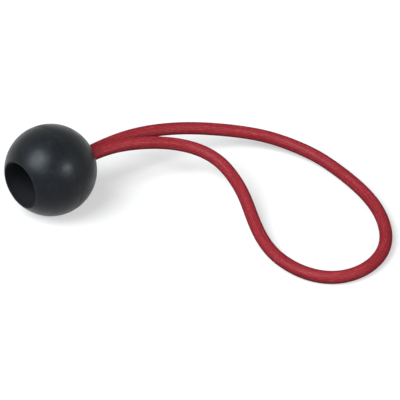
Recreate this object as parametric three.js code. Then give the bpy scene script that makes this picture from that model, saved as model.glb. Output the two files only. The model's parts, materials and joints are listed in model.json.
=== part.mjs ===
// A ball bungee: a loop of elastic cord whose two ends are clipped together inside a moulded ball.
// Millimetres, +Z up. The ball rests on the table at the origin, its bore runs along X, and the cord
// leaves it towards +X, droops to the table and turns back in a loop.
import * as THREE from 'three';

// Ball
const ballDiameter = 29;
const boreClearance = 1.1;
const boreCornerRadius = 0.8;
const mouthLand = 0.4;
const mouthEdge = 0.25;
const cordHoleLength = 6.3;
const cordHoleRounding = 2;

// Cord
const cordDiameter = 4;
const sheathWall = 0.45;
const strandGap = 0.1;
const tailLength = 1.2;
const bightLength = 70;

// Crimp clip
const clipLength = 6;
const clipWall = 1.2;
const clipSeam = 0.7;

// How the pieces lie
const pairRoll = THREE.MathUtils.degToRad(-26);
const pairDrop = 1.2;
const clearance = 0.3;
const clipClearance = 0.15;
const neckReach = 4;

// Facets
const ballSegments = 48;
const sphereSteps = 20;
const roundingSteps = 4;
const cornerSteps = 3;
const sheathSides = 10;
const strandSides = 6;
const ringStrands = 6;
const legSteps = 25;
const bightSteps = 16;
const clipCurveSteps = 8;

// The loose part of the cord, from the rear strand round the loop to the front strand, chosen by hand.
const looseRoute = [
  [26.5, 1.6, 12.2],
  [35, 0.5, 11.7],
  [44, -2, 10.7],
  [52, -5.4, 9.4],
  [60, -10.2, 7.8],
  [67, -16, 6.4],
  [72.5, -22.2, 5.1],
  [76.5, -29.6, 3.8],
  [78.8, -38, 2.9],
  [79.2, -47.5, 2.2],
  [78, -57.5, 2],
  [75.1, -68, 2],
  [69.4, -78.6, 2],
  [63, -85.4, 2],
  [55.2, -89.5, 2],
  [46.9, -90.3, 2],
  [40.2, -87.9, 2],
  [35.7, -82.8, 2],
  [33.5, -75.3, 2],
  [33.6, -66.3, 2.4],
  [36.1, -57.7, 3.2],
  [39.8, -49.7, 4.5],
  [43.7, -41.8, 6.1],
  [46.6, -33.3, 7.7],
  [47.4, -24.6, 9.4],
  [44.6, -16.2, 10.8],
  [38.5, -10, 12.2],
  [30.5, -5.9, 13.6],
  [22, -3.2, 14.4],
];

// Sizes that follow from the ones above
const cordRadius = cordDiameter / 2;
const pairHalfSpacing = (cordDiameter + clearance) / 2;
const strandY = pairHalfSpacing * Math.cos(pairRoll);
const strandRise = pairHalfSpacing * Math.sin(pairRoll);
const farStrandOffset = Math.hypot(strandY, pairDrop + Math.abs(strandRise));
const clipInnerRadius = cordRadius + clipClearance;
const clipOuterRadius = clipInnerRadius + clipWall;
const ballRadius = ballDiameter / 2;
const pairHeight = ballRadius - pairDrop;
const boreRadius = farStrandOffset + clipOuterRadius + boreClearance;
const landRadius = boreRadius + mouthEdge + mouthLand;
const mouthX = -Math.sqrt(ballRadius ** 2 - landRadius ** 2);
const holeRadius = farStrandOffset + cordRadius + clearance;
const roundingCentreR = holeRadius + cordHoleRounding;
const roundingCentreX = Math.sqrt((ballRadius - cordHoleRounding) ** 2 - roundingCentreR ** 2);
const shoulderX = roundingCentreX - cordHoleLength;
const clipEndX = shoulderX - clearance;
const clipStartX = clipEndX - clipLength;
const cordEndX = clipStartX - tailLength;
const neckEndX = roundingCentreX + neckReach;
const coreRadius = cordRadius - sheathWall;
const coreFlat = coreRadius * Math.cos(Math.PI / sheathSides);
const strandDiameter = (2 * coreFlat - 4 * strandGap) / 3;
const strandPitch = strandDiameter + strandGap;

const plastic = new THREE.MeshStandardMaterial({ color: 0x1f2226, roughness: 0.5, metalness: 0 });
const braid = new THREE.MeshStandardMaterial({ color: 0xa81c2c, roughness: 0.8, metalness: 0 });
const latex = new THREE.MeshStandardMaterial({ color: 0xd9cda8, roughness: 0.6, metalness: 0 });
const steel = new THREE.MeshStandardMaterial({ color: 0xb9bcbf, roughness: 0.35, metalness: 0.9 });

function named(name, geometry, material) {
  const mesh = new THREE.Mesh(geometry, material);
  mesh.name = name;
  return mesh;
}

// Points on an arc in the plane of a lathe profile, where x is the radius and y runs along the axis.
function arcPoints(centre, radius, startAngle, endAngle, steps) {
  const points = [];
  for (let i = 0; i <= steps; i += 1) {
    const angle = THREE.MathUtils.lerp(startAngle, endAngle, i / steps);
    points.push(new THREE.Vector2(
      centre.x + radius * Math.cos(angle),
      centre.y + radius * Math.sin(angle),
    ));
  }
  return points;
}

// The ball's half section: mouth land, sphere, rounded cord hole, shoulder, bore and mouth edge.
function ballProfile() {
  const centre = new THREE.Vector2(0, 0);
  const rounding = new THREE.Vector2(roundingCentreR, roundingCentreX);
  const corner = new THREE.Vector2(boreRadius - boreCornerRadius, shoulderX - boreCornerRadius);
  const edge = new THREE.Vector2(boreRadius + mouthEdge, mouthX + mouthEdge);
  const landAngle = Math.atan2(mouthX, landRadius);
  const tangentAngle = Math.atan2(roundingCentreX, roundingCentreR);
  const points = [
    ...arcPoints(centre, ballRadius, landAngle, tangentAngle, sphereSteps),
    ...arcPoints(rounding, cordHoleRounding, tangentAngle, Math.PI, roundingSteps).slice(1),
    new THREE.Vector2(holeRadius, shoulderX),
    ...arcPoints(corner, boreCornerRadius, Math.PI / 2, 0, cornerSteps),
    ...arcPoints(edge, mouthEdge, Math.PI, Math.PI * 1.5, cornerSteps),
  ];
  points.push(points[0].clone());
  return points;
}

function makeBall() {
  const ball = named('ball', new THREE.LatheGeometry(ballProfile(), ballSegments), plastic);
  ball.rotation.z = -Math.PI / 2;
  ball.position.z = ballRadius;
  return ball;
}

// The strip of the clip, bent round both cords, with its two ends meeting at an open seam.
function clipOutline() {
  const inner = clipInnerRadius;
  const outer = clipOuterRadius;
  const half = pairHalfSpacing;
  const quarter = Math.PI / 2;
  const outline = new THREE.Shape();
  outline.moveTo(clipSeam / 2, outer);
  outline.lineTo(half, outer);
  outline.absarc(half, 0, outer, quarter, -quarter, true);
  outline.lineTo(-half, -outer);
  outline.absarc(-half, 0, outer, -quarter, -3 * quarter, true);
  outline.lineTo(-clipSeam / 2, outer);
  outline.lineTo(-clipSeam / 2, inner);
  outline.lineTo(-half, inner);
  outline.absarc(-half, 0, inner, quarter, 3 * quarter, false);
  outline.lineTo(half, -inner);
  outline.absarc(half, 0, inner, -quarter, quarter, false);
  outline.lineTo(clipSeam / 2, inner);
  return outline;
}

function makeClip() {
  const geometry = new THREE.ExtrudeGeometry(clipOutline(), {
    depth: clipLength,
    bevelEnabled: false,
    curveSegments: clipCurveSteps,
  });
  const across = new THREE.Vector3(0, Math.cos(pairRoll), Math.sin(pairRoll));
  const along = new THREE.Vector3(1, 0, 0);
  const upward = new THREE.Vector3().crossVectors(along, across);
  const clip = named('crimp_clip', geometry, steel);
  clip.setRotationFromMatrix(new THREE.Matrix4().makeBasis(across, upward, along));
  clip.position.set(clipStartX, 0, pairHeight);
  return clip;
}

// Points on the straight stretch of one strand, in the clip and the cord hole. side is 1 at the rear.
function neckPoints(side) {
  const stations = [cordEndX, clipEndX, roundingCentreX, neckEndX];
  return stations.map((x) => new THREE.Vector3(x, side * strandY, pairHeight + side * strandRise));
}

function cordRoute() {
  const loose = looseRoute.map(([x, y, z]) => new THREE.Vector3(x, y, z));
  const points = [...neckPoints(1), ...loose, ...neckPoints(-1).reverse()];
  const route = new THREE.CatmullRomCurve3(points, false, 'centripetal');
  route.arcLengthDivisions = 2000;
  return route;
}

// One stretch of the cord's route, from one length along it to another.
class Stretch extends THREE.Curve {
  constructor(route, start, end) {
    super();
    this.route = route;
    this.start = start / route.getLength();
    this.end = end / route.getLength();
  }

  getPoint(t, target = new THREE.Vector3()) {
    return this.route.getPointAt(THREE.MathUtils.lerp(this.start, this.end, t), target);
  }
}

// A ring of corners with a flat side, not a corner, on the section's first axis.
function polygon(radius, sides, centre) {
  const points = [];
  for (let i = 0; i < sides; i += 1) {
    const angle = ((i + 0.5) / sides) * Math.PI * 2;
    points.push(new THREE.Vector2(
      centre.x + radius * Math.cos(angle),
      centre.y + radius * Math.sin(angle),
    ));
  }
  return points;
}

function sheathSection() {
  const centre = new THREE.Vector2(0, 0);
  const section = new THREE.Shape(polygon(cordRadius, sheathSides, centre));
  section.holes.push(new THREE.Path(polygon(coreRadius, sheathSides, centre)));
  return section;
}

// One rubber strand in the middle and a ring of strands round it.
function strandSections() {
  const centres = [new THREE.Vector2(0, 0)];
  for (let i = 0; i < ringStrands; i += 1) {
    const angle = (i / ringStrands) * Math.PI * 2;
    centres.push(new THREE.Vector2(strandPitch * Math.cos(angle), strandPitch * Math.sin(angle)));
  }
  return centres.map((centre) => new THREE.Shape(polygon(strandDiameter / 2, strandSides, centre)));
}

// The sheath and the rubber strands of one stretch of the cord.
function makeStretch(name, path, steps) {
  const stretch = new THREE.Group();
  const along = { steps, extrudePath: path, bevelEnabled: false };
  stretch.add(named(`sheath_${name}`, new THREE.ExtrudeGeometry(sheathSection(), along), braid));
  strandSections().forEach((section, index) => {
    const geometry = new THREE.ExtrudeGeometry(section, along);
    stretch.add(named(`rubber_strand_${name}_${index + 1}`, geometry, latex));
  });
  return stretch;
}

function makeCord() {
  const route = cordRoute();
  const length = route.getLength();
  const bightStart = (length - bightLength) / 2;
  const bightEnd = bightStart + bightLength;
  const cord = new THREE.Group();
  cord.add(makeStretch('rear_leg', new Stretch(route, 0, bightStart - clearance), legSteps));
  cord.add(makeStretch('bight', new Stretch(route, bightStart, bightEnd), bightSteps));
  cord.add(makeStretch('front_leg', new Stretch(route, bightEnd + clearance, length), legSteps));
  return cord;
}

const ballBungee = new THREE.Group();
ballBungee.add(makeBall(), makeClip(), makeCord());

export default ballBungee;
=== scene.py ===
"""Dresses the ball bungee: a moulded ball, a braided elastic cord, its rubber core and its clip.

Everything is in metres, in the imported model's frame. The ball rests on the table at the origin,
its bore runs along X, and the cord leaves it towards +X and comes back to it in a loop.
"""

import json
import logging
import math
from dataclasses import dataclass
from enum import Enum
from typing import Any, Mapping, Optional, Sequence

import bpy
import numpy as np
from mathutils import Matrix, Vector


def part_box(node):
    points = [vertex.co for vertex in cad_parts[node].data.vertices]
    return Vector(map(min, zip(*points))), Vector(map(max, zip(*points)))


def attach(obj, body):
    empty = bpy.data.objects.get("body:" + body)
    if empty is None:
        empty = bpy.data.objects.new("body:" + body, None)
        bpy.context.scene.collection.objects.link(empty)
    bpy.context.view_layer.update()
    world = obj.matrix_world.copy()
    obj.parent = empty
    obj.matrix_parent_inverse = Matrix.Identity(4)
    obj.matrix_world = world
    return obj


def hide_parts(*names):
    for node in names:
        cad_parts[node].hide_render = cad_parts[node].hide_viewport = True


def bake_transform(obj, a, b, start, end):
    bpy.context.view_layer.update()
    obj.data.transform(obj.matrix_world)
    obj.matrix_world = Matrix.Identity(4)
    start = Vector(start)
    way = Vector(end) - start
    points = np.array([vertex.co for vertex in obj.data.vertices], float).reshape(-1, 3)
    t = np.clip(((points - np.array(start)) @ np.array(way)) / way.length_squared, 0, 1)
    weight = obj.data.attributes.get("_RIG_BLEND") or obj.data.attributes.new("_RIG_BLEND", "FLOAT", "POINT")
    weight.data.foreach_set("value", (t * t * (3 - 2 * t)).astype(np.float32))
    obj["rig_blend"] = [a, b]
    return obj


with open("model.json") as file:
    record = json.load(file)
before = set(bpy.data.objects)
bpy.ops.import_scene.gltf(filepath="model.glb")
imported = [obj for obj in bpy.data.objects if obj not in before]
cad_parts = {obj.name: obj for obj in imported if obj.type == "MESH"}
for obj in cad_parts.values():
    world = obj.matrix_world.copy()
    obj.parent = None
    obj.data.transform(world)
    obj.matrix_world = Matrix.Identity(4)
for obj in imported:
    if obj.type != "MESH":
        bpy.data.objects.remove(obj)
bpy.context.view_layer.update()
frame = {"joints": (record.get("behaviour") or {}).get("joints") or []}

Array = np.ndarray
Span = tuple[float, float]
Point = tuple[float, float, float]
Colour = tuple[float, float, float, float]
Socket = bpy.types.NodeSocket

log = logging.getLogger("ball_bungee")

UP = np.array([0.0, 0.0, 1.0])
ALONG_BORE = np.array([1.0, 0.0, 0.0])
QUARTER = math.pi / 2.0
MILLIMETRES = 1000.0
ZERO_TO_ONE: Span = (0.0, 1.0)
WHITE: Colour = (1.0, 1.0, 1.0, 1.0)

# Most of a cloudy noise lies between these two numbers.
CLOUDY: Span = (0.3, 0.7)

# The loose part of the cord, from the rear strand round the loop to the front strand.
LOOSE_ROUTE: tuple[Point, ...] = (
    (0.0265, 0.0016, 0.0122),
    (0.0350, 0.0005, 0.0117),
    (0.0440, -0.0020, 0.0107),
    (0.0520, -0.0054, 0.0094),
    (0.0600, -0.0102, 0.0078),
    (0.0670, -0.0160, 0.0064),
    (0.0725, -0.0222, 0.0051),
    (0.0765, -0.0296, 0.0038),
    (0.0788, -0.0380, 0.0029),
    (0.0792, -0.0475, 0.0022),
    (0.0780, -0.0575, 0.0020),
    (0.0751, -0.0680, 0.0020),
    (0.0694, -0.0786, 0.0020),
    (0.0630, -0.0854, 0.0020),
    (0.0552, -0.0895, 0.0020),
    (0.0469, -0.0903, 0.0020),
    (0.0402, -0.0879, 0.0020),
    (0.0357, -0.0828, 0.0020),
    (0.0335, -0.0753, 0.0020),
    (0.0336, -0.0663, 0.0024),
    (0.0361, -0.0577, 0.0032),
    (0.0398, -0.0497, 0.0045),
    (0.0437, -0.0418, 0.0061),
    (0.0466, -0.0333, 0.0077),
    (0.0474, -0.0246, 0.0094),
    (0.0446, -0.0162, 0.0108),
    (0.0385, -0.0100, 0.0122),
    (0.0305, -0.0059, 0.0136),
    (0.0220, -0.0032, 0.0144),
)


class Body(str, Enum):
    """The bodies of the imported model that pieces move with."""

    BALL = "ball"
    CORD_END = "cord_end"
    BIGHT = "bight"


class Slot(str, Enum):
    """The record's material slots."""

    BALL = "ball_plastic"
    SHEATH = "cord_sheath"
    CORE = "rubber_core"
    CLIP = "clip_steel"


class Strand(Enum):
    """The two strands of the doubled cord at the ball, by the side of the pair that they lie on."""

    REAR = 1
    FRONT = -1


def ramp(value: Array, low: float, high: float) -> Array:
    """Rises smoothly from 0 at low to 1 at high, as 3t² - 2t³.

    Args:
        value: Numbers to look up.
        low: Where the rise starts.
        high: Where the rise ends.

    Returns:
        One share between 0 and 1 for each number.
    """
    t = np.clip((value - low) / (high - low), 0.0, 1.0)
    return t * t * (3.0 - 2.0 * t)


def unit(vectors: Array) -> Array:
    """Rows of vectors, each divided by its length."""
    return vectors / np.linalg.norm(vectors, axis=-1, keepdims=True)


def arc(centre: Span, radius: float | Array, angles: Array) -> Array:
    """Points on a circle: centre + radius (cos angle, sin angle)."""
    return np.asarray(centre) + radius * np.stack([np.cos(angles), np.sin(angles)], axis=-1)


def travelled(points: Array) -> Array:
    """Length along a line of points, from its first point to each."""
    return np.concatenate([[0.0], np.cumsum(np.linalg.norm(np.diff(points, axis=0), axis=1))])


def natural_spline(knots: Array, values: Array, at: Array) -> Array:
    """Passes one cubic curve through points, with its slope and its bend unbroken at every knot.

    Each span is a straight blend of its two ends plus (a³ - a) and (b³ - b) parts, whose sizes are
    the second derivatives that make the slopes of neighbouring spans agree. They are zero at both
    ends.

    Args:
        knots: Rising parameter of each point.
        values: The points, one in a row.
        at: Parameters to look up.

    Returns:
        One point in a row for each parameter.
    """
    gaps = np.diff(knots)
    slopes = np.diff(values, axis=0) / gaps[:, None]
    inner = np.arange(1, len(knots) - 1)
    ties = np.eye(len(knots))
    ties[inner, inner - 1] = gaps[:-1]
    ties[inner, inner] = 2.0 * (gaps[:-1] + gaps[1:])
    ties[inner, inner + 1] = gaps[1:]
    bends = np.zeros_like(values)
    bends[1:-1] = 6.0 * np.diff(slopes, axis=0)
    bends = np.linalg.solve(ties, bends)
    span = np.clip(np.searchsorted(knots, at, side="right") - 1, 0, len(gaps) - 1)
    gap = gaps[span][:, None]
    a = (knots[span + 1] - at)[:, None] / gap
    b = 1.0 - a
    straight = a * values[span] + b * values[span + 1]
    return straight + ((a**3 - a) * bends[span] + (b**3 - b) * bends[span + 1]) * gap**2 / 6.0


def grid_faces(rows: int, columns: int, ring: bool) -> Array:
    """Four-sided faces between the neighbours of a grid whose columns wrap round.

    Args:
        rows: Number of rows.
        columns: Number of columns.
        ring: Whether the last row joins the first.

    Returns:
        Four point numbers for each face.
    """
    row = np.arange(rows if ring else rows - 1)[:, None]
    column = np.arange(columns)[None, :]
    next_row = (row + 1) % rows
    next_column = (column + 1) % columns
    corners = (
        row * columns + column,
        row * columns + next_column,
        next_row * columns + next_column,
        next_row * columns + column,
    )
    return np.stack(np.broadcast_arrays(*corners), axis=-1).reshape(-1, 4)


def fan_faces(columns: int, first: int, hub: int, flip: bool) -> Array:
    """Three-sided faces from a hub point to each pair of neighbours of a ring of points.

    Args:
        columns: Number of points in the ring.
        first: Number of the ring's first point.
        hub: Number of the hub point.
        flip: Whether the faces turn the other way.

    Returns:
        Three point numbers for each face.
    """
    here = first + np.arange(columns)
    there = first + (np.arange(columns) + 1) % columns
    pair = (there, here) if flip else (here, there)
    return np.stack([np.full(columns, hub), *pair], axis=-1)


@dataclass
class Skin:
    """A closed surface: its points, its four-sided faces and its three-sided ones."""

    points: Array
    quads: Array
    tris: Array

    def volume(self) -> float:
        """Six times the enclosed volume, negative where the faces point inwards."""
        corners = np.concatenate([self.quads[:, [0, 1, 2]], self.quads[:, [0, 2, 3]], self.tris])
        a, b, c = (self.points[corners[:, i]] for i in range(3))
        return float(np.einsum("ij,ij->i", a, np.cross(b, c)).sum())

    def make(self, name: str) -> bpy.types.Object:
        """Puts the surface into a new smooth-shaded object at the origin, with its faces outwards.

        Args:
            name: The piece's name.

        Returns:
            The new object, linked to the scene.
        """
        if self.volume() < 0.0:
            self.quads = self.quads[:, ::-1]
            self.tris = self.tris[:, ::-1]
        corners = np.concatenate([self.quads.ravel(), self.tris.ravel()]).astype(np.int32)
        starts = np.concatenate([
            np.arange(len(self.quads)) * 4,
            len(self.quads) * 4 + np.arange(len(self.tris)) * 3,
        ]).astype(np.int32)
        mesh = bpy.data.meshes.new(name)
        mesh.vertices.add(len(self.points))
        mesh.vertices.foreach_set("co", self.points.astype(np.float32).ravel())
        mesh.loops.add(len(corners))
        mesh.loops.foreach_set("vertex_index", corners)
        mesh.polygons.add(len(starts))
        mesh.polygons.foreach_set("loop_start", starts)
        mesh.polygons.foreach_set("use_smooth", np.ones(len(starts), dtype=bool))
        mesh.update(calc_edges=True)
        mesh.validate()
        piece = bpy.data.objects.new(name, mesh)
        bpy.context.scene.collection.objects.link(piece)
        log.info("%s: %d triangles", name, 2 * len(self.quads) + len(self.tris))
        return piece


def tube_skin(rings: Array) -> Skin:
    """Joins rings of points into a closed tube, with a hub point in the middle of each end.

    Args:
        rings: Points by ring and by place in the ring.

    Returns:
        The closed surface.
    """
    rows, columns, _ = rings.shape
    hubs = np.stack([rings[0].mean(axis=0), rings[-1].mean(axis=0)])
    points = np.concatenate([rings.reshape(-1, 3), hubs])
    tris = np.concatenate([
        fan_faces(columns, 0, rows * columns, True),
        fan_faces(columns, (rows - 1) * columns, rows * columns + 1, False),
    ])
    return Skin(points, grid_faces(rows, columns, False), tris)


def ring_skin(rings: Array) -> Skin:
    """Joins rings of points, and the last ring to the first, into a closed surface.

    Args:
        rings: Points by ring and by place in the ring.

    Returns:
        The closed surface.
    """
    rows, columns, _ = rings.shape
    return Skin(rings.reshape(-1, 3), grid_faces(rows, columns, True), np.empty((0, 3), int))


def number_points(piece: bpy.types.Object, name: str, values: Array) -> None:
    """Stores one number for each point of a piece under a name that its material can read."""
    mesh = piece.data
    attribute = mesh.attributes.get(name) or mesh.attributes.new(name, "FLOAT", "POINT")
    attribute.data.foreach_set("value", values.astype(np.float32).ravel())


@dataclass(frozen=True)
class Grain:
    """A cloudy noise: grains to a unit of length, finer layers and how strong each is."""

    scale: float
    detail: float
    rough: float = 0.5


class Wiring:
    """The node tree of a material or a world, and short ways to add nodes to it and join them."""

    def __init__(self, owner: bpy.types.Material | bpy.types.World) -> None:
        """Empties the tree of a new material or world."""
        owner.use_nodes = True
        self.owner = owner
        self.tree = owner.node_tree
        self.tree.nodes.clear()

    def add(
        self, kind: str, inputs: Optional[Mapping[Any, Any]] = None, **settings: Any
    ) -> bpy.types.Node:
        """Adds one node.

        Args:
            kind: The node's type.
            inputs: Value or output socket for each of its inputs, by name or number.
            settings: Other properties of the node.

        Returns:
            The new node.
        """
        node = self.tree.nodes.new(kind)
        for key, value in settings.items():
            setattr(node, key, value)
        for key, value in (inputs or {}).items():
            if isinstance(value, Socket):
                self.tree.links.new(value, node.inputs[key])
            else:
                node.inputs[key].default_value = value
        return node

    def place(self) -> Socket:
        """Each point's place on its piece, in metres."""
        return self.add("ShaderNodeTexCoord").outputs["Object"]

    def stored(self, name: str) -> Socket:
        """The number that is stored on the points under a name."""
        return self.add("ShaderNodeAttribute", attribute_name=name).outputs["Fac"]

    def seen(self) -> Socket:
        """1 for rays that show a thing, direct, mirrored or through clear stuff, 0 for light."""
        rays = self.add("ShaderNodeLightPath").outputs
        direct = self.sum("MAXIMUM", rays["Is Camera Ray"], rays["Is Glossy Ray"])
        return self.sum("MAXIMUM", direct, rays["Is Transmission Ray"])

    def sum(self, operation: str, *terms: Any) -> Socket:
        """One arithmetic step on numbers or sockets."""
        return self.add("ShaderNodeMath", dict(enumerate(terms)), operation=operation).outputs[0]

    def vector(self, parts: Sequence[Socket], steps: Sequence[float]) -> Socket:
        """Two or three numbers, each times its own step, as one vector."""
        scaled = [self.sum("MULTIPLY", part, step) for part, step in zip(parts, steps)]
        return self.add("ShaderNodeCombineXYZ", dict(enumerate(scaled))).outputs[0]

    def noise(self, vector: Socket, grain: Grain) -> Socket:
        """Cloudy noise between 0 and 1."""
        return self.add("ShaderNodeTexNoise", {
            "Vector": vector,
            "Scale": grain.scale,
            "Detail": grain.detail,
            "Roughness": grain.rough,
        }).outputs[0]

    def spread(self, value: Socket, lows: Span, highs: Sequence[Any] = ZERO_TO_ONE) -> Socket:
        """Maps a range of numbers on to another, held at its ends.

        Args:
            value: The socket to map.
            lows: The lowest and highest number that comes in.
            highs: The numbers or sockets that these become.

        Returns:
            The mapped socket.
        """
        inputs = {0: value, 1: lows[0], 2: lows[1], 3: highs[0], 4: highs[1]}
        return self.add("ShaderNodeMapRange", inputs).outputs[0]

    def shades(self, value: Socket, places: Sequence[float], colours: Sequence[Colour]) -> Socket:
        """Colours a number by stops on a scale from 0 to 1.

        Args:
            value: The socket to colour.
            places: Place of each stop, rising.
            colours: Colour of each stop.

        Returns:
            The colour socket.
        """
        node = self.add("ShaderNodeValToRGB", {0: value})
        scale = node.color_ramp.elements
        while len(scale) < len(places):
            scale.new(places[-1])
        for element, place, colour in zip(scale, places, colours):
            element.position = place
            element.color = colour
        return node.outputs[0]

    def mix(self, share: Socket, first: Any, second: Any) -> Socket:
        """Mixes two colours by a share."""
        inputs = {0: share, 6: first, 7: second}
        return self.add("ShaderNodeMix", inputs, data_type="RGBA").outputs[2]

    def bump(self, height: Socket, strength: float, distance: float) -> Socket:
        """A normal that leans with a height."""
        inputs = {"Height": height, "Strength": strength, "Distance": distance}
        return self.add("ShaderNodeBump", inputs).outputs[0]

    def finish(self, inputs: Mapping[str, Any]) -> bpy.types.Material:
        """Ends a material's tree in a surface shader.

        Args:
            inputs: Value or socket for each of the shader's inputs.

        Returns:
            The finished material.
        """
        shader = self.add("ShaderNodeBsdfPrincipled", inputs)
        self.add("ShaderNodeOutputMaterial", {"Surface": shader.outputs[0]})
        return self.owner


@dataclass(frozen=True)
class SatinPlastic:
    """Black polypropylene as moulded, scuffed a little by handling, and dull in the bore.

    The bore's lighter colour is partly dust and partly painted light.
    """

    deep: Colour = (0.0013, 0.0018, 0.0027, 1.0)
    worn: Colour = (0.0037, 0.0046, 0.0064, 1.0)
    scuff: Colour = (0.0420, 0.0440, 0.0460, 1.0)
    dust_and_painted_light: Colour = (0.0080, 0.0083, 0.0097, 1.0)
    tint: Colour = (0.89, 0.95, 1.0, 1.0)
    tones: Span = (0.30, 0.72)
    gloss: Span = (0.30, 0.44)
    shine: float = 0.203
    edge_dull: float = 0.45
    rub_dull: float = 0.14
    edge_depth: Span = (0.0, 0.2)
    bore_depth: Span = (0.5, 1.5)
    cloud: Grain = Grain(170.0, 4.0, 0.6)
    smudge: Grain = Grain(330.0, 3.0, 0.65)
    mould: Grain = Grain(3600.0, 3.0, 0.6)
    speck: Grain = Grain(2100.0, 1.0)
    speck_cut: Span = (0.64, 0.74)
    speck_height: float = 0.8
    scuff_turn: Point = (0.3, 0.5, 0.9)
    scuff_scale: Point = (70.0, 1500.0, 700.0)
    scuff_grain: Grain = Grain(1.0, 2.0)
    scuff_cut: Span = (0.63, 0.78)
    rubbed_clouds: Span = (0.42, 0.66)
    rubbed_share: Span = (0.04, 0.40)
    relief: Span = (0.28, 0.00003)

    def material(self) -> bpy.types.Material:
        """Smudges of gloss some millimetres wide, moulded grain, specks, and long scuffs.

        The points' depth, in millimetres under the sphere, dulls the mouth's edge and lightens the
        bore's colour, partly as dust and partly as painted light.

        Returns:
            The finished material.
        """
        w = Wiring(bpy.data.materials.new("satin_black_plastic"))
        place = w.place()
        depth = w.stored("depth")
        edge = w.spread(depth, self.edge_depth)
        inside = w.spread(depth, self.bore_depth)
        clouds = w.noise(place, self.cloud)
        smudges = w.noise(place, self.smudge)
        specks = w.spread(w.noise(place, self.speck), self.speck_cut)
        drawn = w.add("ShaderNodeMapping", {
            "Vector": place,
            "Rotation": self.scuff_turn,
            "Scale": self.scuff_scale,
        })
        scuffs = w.spread(w.noise(drawn.outputs[0], self.scuff_grain), self.scuff_cut)
        share = w.spread(clouds, self.rubbed_clouds, self.rubbed_share)
        rubbed = w.sum("MULTIPLY", w.sum("MAXIMUM", specks, scuffs), share)
        tone = w.shades(clouds, self.tones, (self.deep, self.worn))
        rough = w.spread(smudges, CLOUDY, self.gloss)
        rough = w.sum("MULTIPLY_ADD", rubbed, self.rub_dull, rough)
        height = w.sum("MULTIPLY_ADD", specks, self.speck_height, w.noise(place, self.mould))
        return w.finish({
            # Deep in the bore the colour turns lighter: partly dust, partly painted light in the dark hole.
            "Base Color": w.mix(inside, w.mix(rubbed, tone, self.scuff), self.dust_and_painted_light),
            "Roughness": w.sum("MULTIPLY_ADD", edge, self.edge_dull, rough),
            "Specular IOR Level": self.shine,
            "Specular Tint": self.tint,
            "Normal": w.bump(height, *self.relief),
        })


@dataclass(frozen=True)
class BraidedSheath:
    """Crimson polyester braid, its yarns in slanting floats that change side from wale to wale."""

    # Darkest stop: painted shade in the grooves between the wales.
    painted_groove_shade: Colour = (0.0625, 0.0029, 0.0086, 1.0)
    yarn: Colour = (0.1735, 0.0070, 0.0138, 1.0)
    crown: Colour = (0.2680, 0.0224, 0.0292, 1.0)
    # Palest stop: streaks that are partly the yarn's own tone and partly painted sheen.
    pale_tone_and_sheen: Colour = (0.4580, 0.0975, 0.0828, 1.0)
    tones: tuple[float, ...] = (0.22, 0.50, 0.69, 0.88)
    base_level: float = 0.06
    groove_shade_share: float = 0.32
    filament_share: float = 0.26
    float_share: float = 0.10
    streak_share: float = 0.34
    filament_steps: Point = (7.0, 1.3, 3.7)
    filament: Grain = Grain(1.0, 3.0, 0.6)
    streak_steps: Span = (5.3, 0.035)
    streak: Grain = Grain(1.0, 2.0, 0.6)
    rough: Span = (0.52, 1.0)
    turned_away: Span = (0.25, 0.60)
    turned_blend: float = 0.5
    shine: float = 0.17
    relief: Span = (0.25, 0.00003)

    def material(self) -> bpy.types.Material:
        """Reads the braid's UV, wales across and picks along, and the height stored on the points.

        Each float has its own tone, each wale drifts slowly along its length in paler streaks, partly
        painted sheen, and filaments run along the floats. The stored height darkens the grooves between
        the wales as painted shade. The gloss is duller where the cord turns away from the eye.

        Returns:
            The finished material.
        """
        w = Wiring(bpy.data.materials.new("crimson_braid"))
        braid = w.add("ShaderNodeUVMap", uv_map="braid").outputs[0]
        apart = w.add("ShaderNodeSeparateXYZ", {0: braid})
        across, along = apart.outputs[0], apart.outputs[1]
        wale = w.sum("FLOOR", across)
        lean = w.sum("MULTIPLY_ADD", w.sum("FLOORED_MODULO", wale, 2.0), -2.0, 1.0)
        yarn = w.sum("MULTIPLY_ADD", lean, w.sum("FRACT", across), along)
        filaments = w.noise(w.vector((yarn, across, wale), self.filament_steps), self.filament)
        streaks = w.noise(w.vector((wale, along), self.streak_steps), self.streak)
        number = w.add("ShaderNodeCombineXYZ", {0: w.sum("FLOOR", yarn), 1: wale}).outputs[0]
        tone = w.add("ShaderNodeTexWhiteNoise", {"Vector": number}, noise_dimensions="2D")
        # The crown height lightens the wales' middles and darkens the grooves: painted shade of the relief.
        level = w.sum("MULTIPLY", w.stored("crown"), self.groove_shade_share)
        level = w.sum("MULTIPLY_ADD", filaments, self.filament_share, level)
        level = w.sum("MULTIPLY_ADD", tone.outputs[0], self.float_share, level)
        level = w.sum("ADD", level, self.base_level)
        # Paler streaks along the wales, random along the cord: partly tone, partly painted sheen.
        level = w.sum("MULTIPLY_ADD", streaks, self.streak_share, level)
        colours = (self.painted_groove_shade, self.yarn, self.crown, self.pale_tone_and_sheen)
        turned = w.add("ShaderNodeLayerWeight", {0: self.turned_blend}).outputs["Facing"]
        return w.finish({
            "Base Color": w.shades(level, self.tones, colours),
            "Roughness": w.spread(turned, self.turned_away, self.rough),
            "Specular IOR Level": self.shine,
            "Normal": w.bump(filaments, *self.relief),
        })


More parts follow.
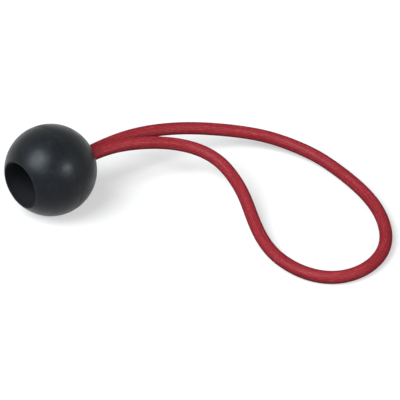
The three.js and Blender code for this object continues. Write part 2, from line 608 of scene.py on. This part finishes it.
@dataclass(frozen=True)
class LatexThread:
    """Natural rubber thread, cream, dusted with talc."""

    gum: Colour = (0.560, 0.470, 0.280, 1.0)
    dusted: Colour = (0.740, 0.680, 0.520, 1.0)
    tones: Span = (0.35, 0.70)
    rough: Span = (0.5, 0.75)
    patch: Grain = Grain(1400.0, 3.0, 0.6)
    drag: Grain = Grain(7000.0, 2.0)
    glow: float = 0.1
    glow_reach: Point = (0.0006, 0.0004, 0.0002)
    relief: Span = (0.2, 0.00002)

    def material(self) -> bpy.types.Material:
        """Talc in soft patches over a gum colour, with a fine drag grain in relief."""
        w = Wiring(bpy.data.materials.new("latex_thread"))
        place = w.place()
        patches = w.noise(place, self.patch)
        return w.finish({
            "Base Color": w.shades(patches, self.tones, (self.gum, self.dusted)),
            "Roughness": w.spread(patches, CLOUDY, self.rough),
            "Subsurface Weight": self.glow,
            "Subsurface Radius": self.glow_reach,
            "Normal": w.bump(w.noise(place, self.drag), *self.relief),
        })


@dataclass(frozen=True)
class ZincStrip:
    """Cold-rolled steel strip with a thin zinc plating."""

    bright: Colour = (0.400, 0.405, 0.410, 1.0)
    dull: Colour = (0.240, 0.245, 0.255, 1.0)
    rough: Span = (0.34, 0.50)
    line_dull: float = 0.18
    line_scale: Point = (9000.0, 350.0, 350.0)
    line: Grain = Grain(1.0, 2.0)
    cloud: Grain = Grain(900.0, 3.0, 0.6)
    relief: Span = (0.25, 0.00002)

    def material(self) -> bpy.types.Material:
        """Rolling lines round the strip, with cloudy plating."""
        w = Wiring(bpy.data.materials.new("zinc_strip"))
        place = w.place()
        rolled = w.add("ShaderNodeMapping", {"Vector": place, "Scale": self.line_scale})
        lines = w.noise(rolled.outputs[0], self.line)
        clouds = w.noise(place, self.cloud)
        rough = w.spread(clouds, CLOUDY, self.rough)
        return w.finish({
            "Base Color": w.shades(clouds, CLOUDY, (self.dull, self.bright)),
            "Metallic": 1.0,
            "Roughness": w.sum("MULTIPLY_ADD", lines, self.line_dull, rough),
            "Normal": w.bump(lines, *self.relief),
        })


@dataclass
class Stations:
    """Even steps along the cord: place, direction, level side, the side above it, and length."""

    points: Array
    ahead: Array
    left: Array
    over: Array
    along: Array

    def rings(self, turns: Array, radius: Array, aside: float = 0.0, below: float = 0.0) -> Array:
        """Circles round the line: centre + radius (cos turn, sin turn) on its two side directions.

        Args:
            turns: Angle of each point in a ring.
            radius: Radius by ring and by point.
            aside: How far to the left of the line the circles' centres lie.
            below: How far under the line they lie.

        Returns:
            Points by ring and by place in the ring.
        """
        sideways = (aside + radius * np.cos(turns))[..., None]
        upward = (radius * np.sin(turns) - below)[..., None]
        return self.points[:, None] + sideways * self.left[:, None] + upward * self.over[:, None]


@dataclass
class CordLine:
    """The cord's centreline, from the rear cut end round the loop to the front cut end."""

    radius: float = 0.0020
    half_spacing: float = 0.00215
    pair_roll: float = math.radians(-26.0)
    pair_height: float = 0.0133
    hole_middle: float = 0.0102
    neck_end: float = 0.0142
    bight: float = 0.070
    held: Span = (0.022, 0.046)
    fade: float = 0.035
    fine_steps: int = 12000
    give_steps: int = 2000

    def neck(self, strand: Strand) -> list[Point]:
        """The straight stretch of one strand, through the clip and the cord hole.

        Args:
            strand: Which of the two strands.

        Returns:
            Its points from the cut end outwards.
        """
        side = strand.value
        y = side * self.half_spacing * math.cos(self.pair_roll)
        z = self.pair_height + side * self.half_spacing * math.sin(self.pair_roll)
        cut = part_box("sheath_rear_leg")[0].x
        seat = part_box("crimp_clip")[1].x
        return [(x, y, z) for x in (cut, seat, self.hole_middle, self.neck_end)]

    def trace(self) -> Array:
        """The whole line as many close points, kept a cord's radius above the table."""
        front = reversed(self.neck(Strand.FRONT))
        knots = np.array([*self.neck(Strand.REAR), *LOOSE_ROUTE, *front])
        chords = travelled(knots)
        points = natural_spline(chords, knots, np.linspace(0.0, chords[-1], self.fine_steps))
        points[:, 2] = np.maximum(points[:, 2], self.radius)
        return points

    def length(self) -> float:
        """Length of the line from cut end to cut end."""
        return float(travelled(self.trace())[-1])

    def stations(self, count: int, start_trim: float = 0.0, end_trim: float = 0.0) -> Stations:
        """Divides the line evenly. The side direction stays level, so the cord doesn't twist.

        Args:
            count: Number of stations.
            start_trim: Length left out at the rear cut end.
            end_trim: Length left out at the front cut end.

        Returns:
            The stations in order.
        """
        trace = self.trace()
        reach = travelled(trace)
        along = np.linspace(start_trim, reach[-1] - end_trim, count)
        points = np.stack([np.interp(along, reach, column) for column in trace.T], axis=-1)
        slopes = np.gradient(trace, axis=0)
        ahead = unit(np.stack([np.interp(along, reach, column) for column in slopes.T], axis=-1))
        left = unit(np.cross(UP, ahead))
        return Stations(points, ahead, left, np.cross(ahead, left), along)

    def give(self, along: Array) -> Array:
        """Share of the bight's travel that each place on the cord follows as the loop is drawn out.

        A short length stretches by the square of the part of its direction that lies along the
        pull, not at all in the ball, and less and less as it comes to the bight. The shares add
        these up from each cut end and reach 1 at the bight.

        Args:
            along: Lengths along the cord.

        Returns:
            A share between 0 and 1 for each length.
        """
        pull = np.array(next(j["axis"] for j in frame["joints"] if j["child"] == Body.BIGHT.value))
        whole = self.length()
        reach = (whole - self.bight) / 2.0
        path = self.stations(self.give_steps)
        legs = (
            (path.along, path.ahead, along),
            (whole - path.along[::-1], -path.ahead[::-1], whole - along),
        )
        shares = []
        for from_end, ahead, asked in legs:
            rate = np.clip(ahead @ pull, 0.0, None) ** 2 * ramp(from_end, *self.held)
            rate *= 1.0 - ramp(from_end, reach - self.fade, reach)
            total = np.cumsum(rate)
            shares.append(np.interp(asked, from_end, total / total[-1]))
        return np.minimum(*shares)


@dataclass
class Sheath:
    """The braided jacket: one hollow tube over the whole line, its wales and picks in relief."""

    line: CordLine
    wall: float = 0.00045
    wales: int = 24
    columns_per_wale: int = 3
    pick: float = 0.0008
    rings_per_pick: int = 3
    relief: float = 0.00005
    float_share: float = 0.30
    end_curl: float = 0.00016
    curl_reach: float = 0.0004
    swells: tuple[Point, ...] = ((0.000012, 0.0047, 0.0), (0.000010, 0.0113, 1.0))
    inner_rings: int = 120
    path_points: int = 320

    def build(self) -> bpy.types.Object:
        """Makes the jacket as one closed grid: the braid outwards, then the smooth inside back.

        A point stands out by the product of two half sine waves, one across its wale and one across
        its yarn, whose phase climbs one pick while it crosses the wale, upwards in one wale and
        downwards in the next. Slow sine waves (size, length, phase) swell the jacket, and its cut
        ends curl in by exp(-(distance / reach)²).

        Returns:
            The jacket with its UV and its height stored.
        """
        line = self.line
        columns = self.wales * self.columns_per_wale
        picks = round(line.length() / self.pick)
        outer = line.stations(picks * self.rings_per_pick + 1)
        inner = line.stations(self.inner_rings)
        wale = np.arange(columns) / self.columns_per_wale
        turns = 2.0 * np.pi * np.arange(columns) / columns
        across = wale % 1.0
        lean = np.where(np.floor(wale) % 2 == 0, 1.0, -1.0)
        yarn = outer.along[:, None] / self.pick + (lean * across)[None, :]
        floats = 1.0 - self.float_share + self.float_share * np.sin(np.pi * (yarn % 1.0))
        crown = np.sin(np.pi * across) * floats
        from_end = np.minimum(outer.along, outer.along[-1] - outer.along)[:, None]
        curl = self.end_curl * np.exp(-((from_end / self.curl_reach) ** 2))
        swell = sum(size * np.sin(outer.along / wave + phase) for size, wave, phase in self.swells)
        radius = line.radius + self.relief * (crown - 0.5) - curl + swell[:, None]
        core = np.full((self.inner_rings, columns), line.radius - self.wall)
        rings = np.concatenate([outer.rings(turns, radius), inner.rings(turns, core)[::-1]])
        piece = ring_skin(rings).make("sheath")
        # The height is stored for the braid's colour, which paints shade into the grooves.
        number_points(piece, "crown", np.concatenate([crown, np.zeros_like(core)]))
        along = np.concatenate([outer.along, inner.along[::-1]])
        self.lay_uv(piece, columns, along / self.pick)
        self.follow(piece, along, columns)
        return piece

    def lay_uv(self, piece: bpy.types.Object, columns: int, picks: Array) -> None:
        """Lays the braid's UV: wales across, the last column ending a whole turn on, picks along.

        Args:
            piece: The jacket.
            columns: Points in a ring.
            picks: Picks from the cut end, one for each ring.
        """
        mesh = piece.data
        corners = np.empty(len(mesh.loops), dtype=np.int32)
        mesh.loops.foreach_get("vertex_index", corners)
        column = (corners % columns).reshape(-1, 4)
        wraps = (column.max(axis=1, keepdims=True) == columns - 1) & (column == 0)
        across = np.where(wraps, columns, column).ravel() / self.columns_per_wale
        places = np.stack([across, picks[corners // columns]], axis=-1)
        layer = mesh.uv_layers.new(name="braid")
        layer.data.foreach_set("uv", places.astype(np.float32).ravel())

    def follow(self, piece: bpy.types.Object, along: Array, columns: int) -> None:
        """Lets a piece of the cord stretch, with the cord's end at the ball and the bight beyond.

        Args:
            piece: The piece, made of rings.
            along: Length along the cord of each ring.
            columns: Points in a ring.
        """
        ball_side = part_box("sheath_rear_leg")[0]
        loop_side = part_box("sheath_bight")[0]
        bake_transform(piece, Body.CORD_END.value, Body.BIGHT.value, start=ball_side, end=loop_side)
        shares = np.repeat(self.line.give(along), columns)
        spare = len(piece.data.vertices) - len(shares)
        number_points(piece, "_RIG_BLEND", np.concatenate([shares, np.zeros(spare)]))

    def dress(self, piece: bpy.types.Object, on_it: Sequence[bpy.types.Object]) -> None:
        """Gives the jacket its finish and hides the nodes that it stands for.

        Args:
            piece: The jacket.
            on_it: Not used.
        """
        piece.data.materials.append(BraidedSheath().material())
        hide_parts("sheath_rear_leg", "sheath_bight", "sheath_front_leg")
        line = self.line
        path = line.stations(self.path_points).points
        line.length()


@dataclass
class RubberCore:
    """Seven latex threads side by side in the jacket, one in the middle and six round it."""

    sheath: Sheath
    threads: int = 7
    diameter: float = 0.00085
    pitch: float = 0.00095
    columns: int = 12
    rings: int = 240
    sink: float = 0.00007
    rear_cuts: int = 4
    front_cuts: int = 3
    end_size: float = 0.9

    def build(self) -> list[bpy.types.Object]:
        """Makes each thread as a round tube at a fixed place in the cord's section.

        The threads are cut short of the jacket by a few sinks, by turns along the row.

        Returns:
            The threads in order.
        """
        line = self.sheath.line
        material = LatexThread().material()
        turns = 2.0 * np.pi * np.arange(self.columns) / self.columns
        threads = []
        for number in range(1, self.threads + 1):
            angle = 2.0 * np.pi * (number - 2) / (self.threads - 1)
            out = 0.0 if number == 1 else self.pitch
            rear_trim = self.sink * (1 + number % self.rear_cuts)
            front_trim = self.sink * (1 + number % self.front_cuts)
            stations = line.stations(self.rings, rear_trim, front_trim)
            radius = np.full((self.rings, self.columns), self.diameter / 2.0)
            radius[[0, -1]] *= self.end_size
            rings = stations.rings(turns, radius, out * math.sin(angle), out * math.cos(angle))
            piece = tube_skin(rings).make(f"rubber_thread_{number}")
            piece.data.materials.append(material)
            parts = ("rear_leg", "bight", "front_leg")
            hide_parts(*(f"rubber_strand_{part}_{number}" for part in parts))
            self.sheath.follow(piece, stations.along, self.columns)
            threads.append(piece)
        return threads


@dataclass
class Ball:
    """The moulded ball: a sphere with a stepped bore, wide at the mouth and narrow at the cord."""

    radius: float = 0.0145
    mouth: float = -0.012103
    rim: float = 0.00012
    bore: float = 0.007335
    mouth_edge: float = 0.00025
    shoulder: float = 0.003929
    bore_corner: float = 0.0008
    hole: float = 0.005185
    hole_edge: float = 0.0003
    hole_rounding: float = 0.0020
    hole_middle: float = 0.0100
    seam_height: float = 0.00005
    seam_width: float = 0.00012
    seam_fade: float = 0.0020
    seam_span: float = 0.09
    gate_turn: float = math.radians(13.6)
    gate_radius: float = 0.0007
    gate_flat: float = 0.6
    gate_height: float = 0.00007
    gate_span: float = 0.08
    turns: int = 168
    gate_steps: int = 21
    sphere_steps: int = 121
    seam_steps: int = 61
    rounding_steps: int = 17
    bore_steps: int = 16
    wall_steps: int = 8
    corner_steps: int = 7
    edge_steps: int = 6

    def profile(self) -> Array:
        """The half section as a closed line of (radius, place along the bore).

        Rim, sphere, rounded cord hole, hole wall, shoulder, bore and mouth edge, joined by small
        arcs. The mould's parting seam is a fine step at the sphere's middle: the radius falls by a
        smooth ramp and comes back beyond it by exp(-(distance / fade)²).

        Returns:
            Points of the line in order.
        """
        rim_r = math.sqrt((self.radius - self.rim) ** 2 - (self.mouth + self.rim) ** 2)
        rim_angle = math.atan2(self.mouth + self.rim, rim_r)
        round_r = self.hole + self.hole_rounding
        round_x = math.sqrt((self.radius - self.hole_rounding) ** 2 - round_r**2)
        round_angle = math.atan2(round_x, round_r)
        even = np.linspace(rim_angle, round_angle, self.sphere_steps)[1:-1]
        near_seam = np.linspace(-self.seam_span, self.seam_span, self.seam_steps)
        sphere = np.unique(np.concatenate([even, near_seam]))
        past = sphere * self.radius
        fall = ramp(past, -self.seam_width, self.seam_width)
        fall = fall * np.exp(-((past / self.seam_fade) ** 2))
        out = self.radius - self.seam_height * fall
        edge, corner, lip = self.hole_edge, self.bore_corner, self.mouth_edge
        wall = np.linspace(round_x, self.shoulder + edge, self.wall_steps)[1:-1]
        bore = np.linspace(self.shoulder - corner, self.mouth + lip, self.bore_steps)[1:-1]
        rim_turn = np.linspace(-QUARTER, rim_angle, self.corner_steps)
        round_turn = np.linspace(round_angle, math.pi, self.rounding_steps)
        corner_turn = np.linspace(QUARTER, 0.0, self.corner_steps)
        edge_turn = np.linspace(math.pi, 3.0 * QUARTER, self.edge_steps)
        return np.concatenate([
            arc((rim_r, self.mouth + self.rim), self.rim, rim_turn),
            arc((0.0, 0.0), out[:, None], sphere),
            arc((round_r, round_x), self.hole_rounding, round_turn),
            np.stack([np.full_like(wall, self.hole), wall], axis=-1),
            arc((self.hole + edge, self.shoulder + edge), edge, edge_turn),
            arc((self.bore - corner, self.shoulder - corner), corner, corner_turn),
            np.stack([np.full_like(bore, self.bore), bore], axis=-1),
            arc((self.bore + lip, self.mouth + lip), lip, edge_turn),
        ])

    def build(self) -> bpy.types.Object:
        """Turns the half section round the bore, and lifts a small sheared gate mark on the seam.

        Returns:
            The ball, at rest on the table, with its depth stored.
        """
        even = 2.0 * np.pi * np.arange(self.turns) / self.turns
        near_gate = self.gate_turn + np.linspace(-self.gate_span, self.gate_span, self.gate_steps)
        turns = np.unique(np.concatenate([even, near_gate]))
        profile = self.profile()
        out, along = profile[:, :1], profile[:, 1:]
        shape = (len(profile), len(turns))
        sides = (np.broadcast_to(along, shape), -out * np.sin(turns), out * np.cos(turns))
        points = np.stack(sides, axis=-1)
        gate_sides = (0.0, -math.sin(self.gate_turn), math.cos(self.gate_turn))
        away = np.linalg.norm(points - self.radius * np.array(gate_sides), axis=-1)
        slope = ramp(away, self.gate_flat * self.gate_radius, self.gate_radius)
        lift = self.gate_height * (1.0 - slope)
        points = points + lift[..., None] * unit(points) + self.radius * UP
        piece = ring_skin(points).make("moulded_ball")
        depth = np.where(along < self.hole_middle, self.radius - np.hypot(out, along), 0.0)
        number_points(piece, "depth", np.broadcast_to(MILLIMETRES * depth, shape))
        return piece

    def dress(self, piece: bpy.types.Object) -> None:
        """Gives the ball its finish and its place in the frame."""
        piece.data.materials.append(SatinPlastic().material())
        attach(piece, Body.BALL.value)
        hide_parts("ball")


@dataclass
class CrimpClip:
    """The steel strip bent round both cord ends, its own ends meeting over them at an open seam."""

    line: CordLine
    inner: float = 0.00206
    thickness: float = 0.0012
    seam: float = 0.0007
    edge: float = 0.0003
    tip_size: float = 0.93
    dimple: float = 0.00022
    dimple_width: float = 0.0011
    dimple_from: float = 0.9
    bend_steps: int = 28
    flat_steps: int = 26
    edge_steps: int = 32
    side_steps: int = 15

    def bent_line(self) -> tuple[Array, Array]:
        """The strip's middle seen along the bore: two half circles and flats, open at the seam.

        Returns:
            Its points and the outward direction at each, both as (across the pair, over it).
        """
        half, radius = self.line.half_spacing, self.inner + self.thickness / 2.0
        bend = np.linspace(QUARTER, -QUARTER, self.bend_steps)
        right = arc((half, 0.0), radius, bend)
        flat = np.linspace(half, -half, self.flat_steps)[1:-1]
        floor = np.stack([flat, np.full_like(flat, -radius)], axis=-1)
        right_tip, left_tip = [[self.seam / 2.0, radius]], [[-self.seam / 2.0, radius]]
        points = np.concatenate([right_tip, right, floor, -right, left_tip])
        facing = arc((0.0, 0.0), 1.0, bend)
        up, down = [[0.0, 1.0]], np.tile([[0.0, -1.0]], (len(floor), 1))
        return points, np.concatenate([up, facing, down, -facing, up])

    def section(self, wide: float) -> tuple[Array, Array]:
        """The strip's section: a rectangle with rounded edges, its two wide sides divided evenly.

        A point of an edge is that edge's centre + radius (cos turn, sin turn).

        Args:
            wide: Half the strip's width, without its rounded edges.

        Returns:
            Place along the bore and height over the strip's middle, for each point.
        """
        turn = np.linspace(0.0, 2.0 * np.pi, self.edge_steps, endpoint=False)
        turn = turn + np.pi / self.edge_steps
        thick = self.thickness / 2.0 - self.edge
        width = wide * np.sign(np.cos(turn)) + self.edge * np.cos(turn)
        depth = thick * np.sign(np.sin(turn)) + self.edge * np.sin(turn)
        side = np.linspace(-wide, wide, self.side_steps)[1:-1]
        face = np.full_like(side, self.thickness / 2.0)
        cuts = [self.edge_steps // 4, 3 * self.edge_steps // 4]
        first, second, third = np.split(width, cuts)
        places = np.concatenate([first, side[::-1], second, side, third])
        first, second, third = np.split(depth, cuts)
        return places, np.concatenate([first, face, second, -face, third])

    def build(self) -> bpy.types.Object:
        """Carries the strip's section along the bent line.

        The tool's mark is a bell-shaped hollow pressed into the flat that lies opposite the seam.

        Returns:
            The clip round the cord ends.
        """
        low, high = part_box("crimp_clip")
        width, depth = self.section((high.x - low.x) / 2.0 - self.edge)
        points, outward = self.bent_line()
        low_flat = ramp(-points[:, 1], self.dimple_from * self.inner, self.inner)[:, None]
        away = np.hypot(points[:, :1], width[None, :])
        press = self.dimple * low_flat * np.exp(-((away / self.dimple_width) ** 2))
        shrink = np.ones((len(points), 1))
        shrink[[0, -1]] = self.tip_size
        stand = depth[None, :] * shrink - press
        section = points[:, None] + stand[..., None] * outward[:, None]
        roll = self.line.pair_roll
        across = np.array([0.0, math.cos(roll), math.sin(roll)])
        over = np.array([0.0, -math.sin(roll), math.cos(roll)])
        centre = np.array([(low.x + high.x) / 2.0, 0.0, self.line.pair_height])
        forth = (width[None, :] * shrink)[..., None] * ALONG_BORE
        rings = centre + section[..., :1] * across + section[..., 1:] * over + forth
        return tube_skin(rings).make("clip_strip")

    def dress(self, piece: bpy.types.Object) -> None:
        """Gives the clip its finish and its place in the frame."""
        piece.data.materials.append(ZincStrip().material())
        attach(piece, Body.CORD_END.value)
        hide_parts("crimp_clip")


@dataclass(frozen=True)
class Lamp:
    """A square soft lamp, placed by its direction from the object."""

    name: str
    towards: Point
    size: float
    power: float
    colour: Point
    distance: float = 1.3
    mirrored: bool = True

    def hang(self, aim: Vector) -> None:
        """Hangs the lamp and turns it to the object."""
        data = bpy.data.lights.new(self.name, "AREA")
        data.size = self.size
        data.energy = self.power
        data.color = self.colour
        lamp = bpy.data.objects.new(self.name, data)
        direction = Vector(self.towards).normalized()
        lamp.location = aim + self.distance * direction
        lamp.rotation_mode = "QUATERNION"
        lamp.rotation_quaternion = direction.to_track_quat("Z", "Y")
        lamp.visible_glossy = self.mirrored
        bpy.context.scene.collection.objects.link(lamp)


KEY = Lamp(
    "key_softbox", towards=(-0.632, 0.022, 0.775), size=0.88, power=27.4, colour=(0.93, 0.97, 1.0)
)
FILL = Lamp(
    "fill_softbox", towards=(0.117, -0.869, 0.481), size=0.46, power=8.5, colour=(1.0, 0.985, 0.97)
)
FRONT = Lamp(
    "front_softbox", towards=(-0.51, -0.57, 0.64), size=0.56, power=3.1, colour=(1.0, 0.99, 0.98),
    mirrored=False,
)


@dataclass
class Studio:
    """A white table in soft light, and the camera."""

    aim: Point = (0.03291, -0.03320, 0.0050)
    azimuth: float = math.radians(-41.73)
    elevation: float = math.radians(35.78)
    distance: float = 0.9
    field: float = math.radians(7.974)
    sensor: float = 36.0
    clip: Span = (0.05, 20.0)
    table: float = 4.0
    table_drop: float = 0.00006
    table_white: float = 0.45
    table_grey: float = 0.12
    table_lift: Span = (0.47, 0.97)
    table_lit: Span = (0.12, 0.60)
    ambient: float = 0.04
    dusk: float = 0.83
    dusk_rise: Span = (0.05, 0.40)
    lamps: tuple[Lamp, ...] = (KEY, FILL, FRONT)

    def place_camera(self) -> None:
        """Sets the camera at the photograph's angle, with a long lens."""
        flat = math.cos(self.elevation)
        east, north = math.sin(self.azimuth) * flat, -math.cos(self.azimuth) * flat
        back = Vector((east, north, math.sin(self.elevation)))
        data = bpy.data.cameras.new("camera")
        data.sensor_width = self.sensor
        data.lens = self.sensor / (2.0 * math.tan(self.field / 2.0))
        data.clip_start, data.clip_end = self.clip
        camera = bpy.data.objects.new("camera", data)
        camera.location = Vector(self.aim) + self.distance * back
        camera.rotation_mode = "QUATERNION"
        camera.rotation_quaternion = back.to_track_quat("Z", "Y")
        bpy.context.scene.collection.objects.link(camera)
        bpy.context.scene.camera = camera

    def lay_table(self) -> None:
        """Lays the table: white where it is seen, greyer as light, lifted where the lamps end."""
        half, height = self.table / 2.0, -self.table_drop
        signs = ((-1.0, -1.0), (1.0, -1.0), (1.0, 1.0), (-1.0, 1.0))
        mesh = bpy.data.meshes.new("table_top")
        mesh.from_pydata([(x * half, y * half, height) for x, y in signs], [], [(0, 1, 2, 3)])
        top = bpy.data.objects.new("table_top", mesh)
        bpy.context.scene.collection.objects.link(top)
        w = Wiring(bpy.data.materials.new("white_table"))
        seen = w.seen()
        shade = w.spread(seen, ZERO_TO_ONE, (self.table_grey, self.table_white))
        matt = w.add("ShaderNodeBsdfDiffuse", {"Color": shade})
        away = w.add("ShaderNodeVectorMath", {0: w.place()}, operation="LENGTH").outputs["Value"]
        glow = w.sum("MULTIPLY", seen, w.spread(away, self.table_lit, self.table_lift))
        lift = w.add("ShaderNodeEmission", {"Strength": glow})
        both = w.add("ShaderNodeAddShader", {0: matt.outputs[0], 1: lift.outputs[0]})
        w.add("ShaderNodeOutputMaterial", {"Surface": both.outputs[0]})
        mesh.materials.append(w.owner)

    def light_room(self) -> None:
        """Hangs the lamps and makes a room that looks white, darker overhead, and lights dimly."""
        for lamp in self.lamps:
            lamp.hang(Vector(self.aim))
        w = Wiring(bpy.data.worlds.new("white_room"))
        bpy.context.scene.world = w.owner
        facing = w.add("ShaderNodeTexCoord").outputs["Generated"]
        height = w.add("ShaderNodeSeparateXYZ", {0: facing}).outputs[2]
        wall = w.spread(height, self.dusk_rise, (1.0, self.dusk))
        strength = w.spread(w.seen(), ZERO_TO_ONE, (self.ambient, wall))
        background = w.add("ShaderNodeBackground", {"Color": WHITE, "Strength": strength})
        w.add("ShaderNodeOutputWorld", {"Surface": background.outputs[0]})
        bpy.context.scene.view_settings.view_transform = "Standard"


def main() -> None:
    """Builds the camera and the cord first, then what goes with them, the ball and the room."""
    logging.basicConfig(level=logging.INFO, format="%(name)s: %(message)s")
    studio = Studio()
    studio.place_camera()
    line = CordLine()
    log.info("cord: %.1f mm from cut end to cut end", MILLIMETRES * line.length())
    sheath = Sheath(line)
    jacket = sheath.build()
    threads = RubberCore(sheath).build()
    clip = CrimpClip(line)
    strip = clip.build()
    clip.dress(strip)
    sheath.dress(jacket, [*threads, strip])
    ball = Ball()
    ball.dress(ball.build())
    studio.lay_table()
    studio.light_room()


if __name__ == "__main__":
    main()
